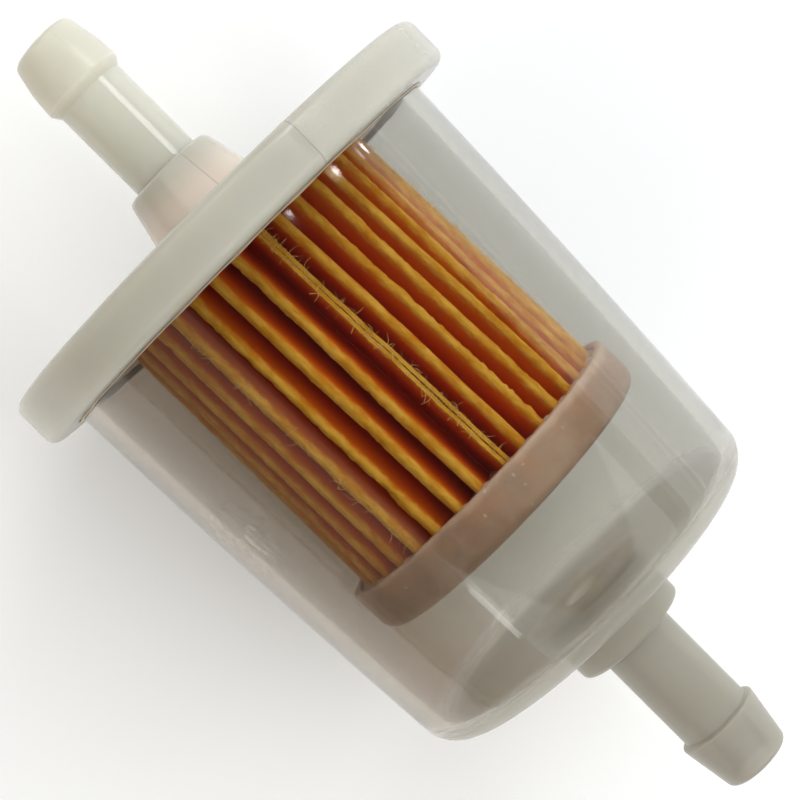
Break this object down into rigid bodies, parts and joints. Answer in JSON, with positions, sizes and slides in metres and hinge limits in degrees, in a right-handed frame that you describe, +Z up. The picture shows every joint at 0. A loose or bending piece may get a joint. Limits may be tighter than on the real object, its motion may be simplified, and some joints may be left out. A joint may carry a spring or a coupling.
{
  "type": "inline fuel filter",
  "caption": "Inline fuel filter for a small engine: clear tapered bowl and milky flanged cap with hose nipples, bonded round a leaning pleated paper cartridge.",
  "frame": {"origin": "middle of the filter's length, on its axis", "axes": "+X along the axis towards the outlet nipple on the cap, +Z up with the paper's seam on the upper side, filter lying level"},
  "size_m": [0.0886, 0.0474, 0.0474],
  "materials": {
    "cap_nylon": "milky, satin, the rim frosted beside its parting line",
    "bowl_nylon": "clear with a slight haze, glossy",
    "adhesive": "amber, glossy",
    "potting": "pinkish, satin",
    "filter_paper": "resin-treated paper, matt, fibrous",
    "disc_plastic": "translucent pinkish, satin"
  },
  "bodies": {
    "root": {"outlet_cap": "cap_nylon", "bowl": "bowl_nylon", "rim_adhesive": "adhesive", "cap_potting": "potting", "pleated_paper": "filter_paper", "seam_glue": "adhesive", "end_disc": "disc_plastic", "disc_potting": "potting"}
  },
  "joints": []
}
